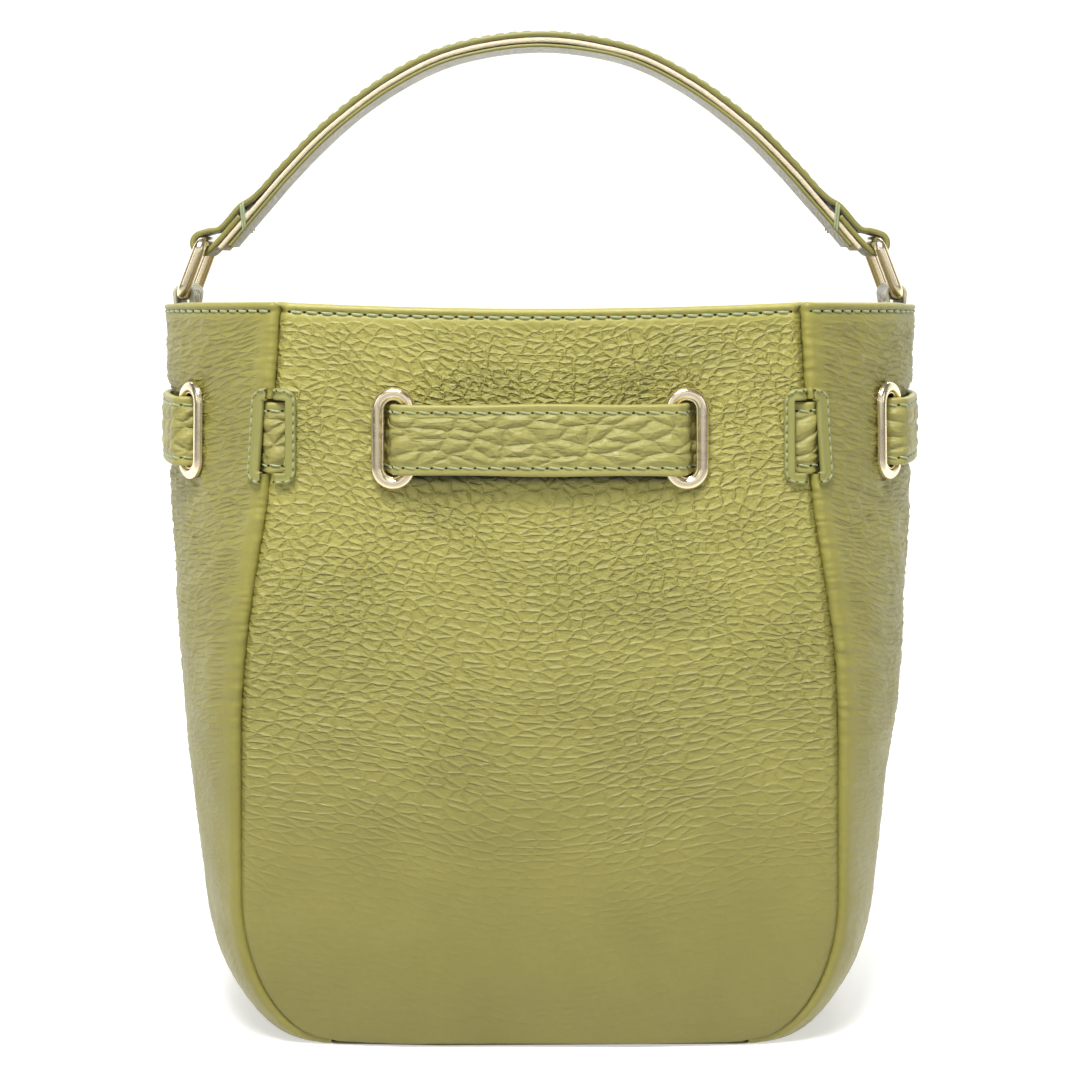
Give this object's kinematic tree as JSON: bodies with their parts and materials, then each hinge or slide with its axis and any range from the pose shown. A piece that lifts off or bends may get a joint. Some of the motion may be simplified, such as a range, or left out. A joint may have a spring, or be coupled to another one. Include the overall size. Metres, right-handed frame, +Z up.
{
  "type": "bucket handbag",
  "caption": "Small olive leather bucket handbag with a belt threaded through oblong eyelets, a turn lock and a top handle on two rings.",
  "frame": {"origin": "middle of the base panel's underside, on the surface that the bag stands on", "axes": "+Z up towards the handle, +X along the bag's width, +Y from the plain back face to the front face with the turn lock; names say left for -X and right for +X"},
  "size_m": [0.2374, 0.1325, 0.2905],
  "materials": {
    "olive_leather": "pebbled, soft satin",
    "belt_leather": "pebbled, soft satin, a little lighter",
    "edge_paint": "raw pale core between the handle's two leathers",
    "lining_fabric": "plain woven cotton",
    "board": "pressed fibre board",
    "pale_gold": "polished pale gold plating",
    "magnet_steel": "plain plated steel"
  },
  "bodies": {
    "bag": {"back_panel": "olive_leather", "front_panel": "olive_leather", "left_gusset": "olive_leather", "right_gusset": "olive_leather", "base_panel": "olive_leather", "base_board": "board", "back_facing": "olive_leather", "front_facing": "olive_leather", "left_facing": "olive_leather", "right_facing": "olive_leather", "lining_back": "lining_fabric", "lining_front": "lining_fabric", "lining_left": "lining_fabric", "lining_right": "lining_fabric", "lining_base": "lining_fabric", "slip_pocket": "lining_fabric", "belt": "belt_leather", "eyelet_back_left": "pale_gold", "eyelet_back_right": "pale_gold", "eyelet_front_left": "pale_gold", "eyelet_front_right": "pale_gold", "side_eyelet_back_left": "pale_gold", "side_eyelet_back_right": "pale_gold", "side_eyelet_front_left": "pale_gold", "side_eyelet_front_right": "pale_gold", "eyelet_washer_back_left": "magnet_steel", "eyelet_washer_back_right": "magnet_steel", "eyelet_washer_front_left": "magnet_steel", "eyelet_washer_front_right": "magnet_steel", "side_eyelet_washer_back_left": "magnet_steel", "side_eyelet_washer_back_right": "magnet_steel", "side_eyelet_washer_front_left": "magnet_steel", "side_eyelet_washer_front_right": "magnet_steel", "panel_patch_back_left": "olive_leather", "panel_patch_back_right": "olive_leather", "panel_patch_front_left": "olive_leather", "panel_patch_front_right": "olive_leather", "gusset_patch_back_left": "olive_leather", "gusset_patch_back_right": "olive_leather", "gusset_patch_front_left": "olive_leather", "gusset_patch_front_right": "olive_leather", "magnet_back": "magnet_steel", "magnet_front": "magnet_steel", "lock_base": "pale_gold", "lock_frame": "pale_gold", "left_tab_anchor": "olive_leather", "right_tab_anchor": "olive_leather"},
    "left_tab": {"left_tab": "olive_leather"},
    "right_tab": {"right_tab": "olive_leather"},
    "left_ring": {"left_ring": "pale_gold"},
    "right_ring": {"right_ring": "pale_gold"},
    "handle": {"handle_outer": "olive_leather", "handle_core": "edge_paint", "handle_inner": "olive_leather"},
    "lock_knob": {"lock_knob": "pale_gold"}
  },
  "joints": [
    {"name": "left_tab_swing", "type": "hinge", "parent": "bag", "child": "left_tab", "pos_m": [-0.1083, 0, 0.2072], "axis": [1, 0, 0], "range_deg": [-40, 40]},
    {"name": "right_tab_swing", "type": "hinge", "parent": "bag", "child": "right_tab", "pos_m": [0.1083, 0, 0.2072], "axis": [1, 0, 0], "range_deg": [-40, 40]},
    {"name": "left_ring_tilt", "type": "hinge", "parent": "left_tab", "child": "left_ring", "pos_m": [-0.1083, 0, 0.2106], "axis": [0, 1, 0], "range_deg": [-12, 12]},
    {"name": "right_ring_tilt", "type": "hinge", "parent": "right_tab", "child": "right_ring", "pos_m": [0.1083, 0, 0.2106], "axis": [0, 1, 0], "range_deg": [-12, 12]},
    {"name": "handle_tilt", "type": "hinge", "parent": "left_ring", "child": "handle", "pos_m": [-0.1024, 0, 0.2262], "axis": [0, 1, 0], "range_deg": [-13, 13]},
    {"name": "lock_turn", "type": "hinge", "parent": "bag", "child": "lock_knob", "pos_m": [0, 0.0684, 0.171], "axis": [0, 1, 0], "range_deg": [0, 90]}
  ],
  "couplings": [
    {"joint": "right_tab_swing", "follows": "left_tab_swing", "ratio": 1},
    {"joint": "right_ring_tilt", "follows": "left_ring_tilt", "ratio": 1},
    {"joint": "handle_tilt", "follows": "left_ring_tilt", "ratio": -1.058}
  ]
}
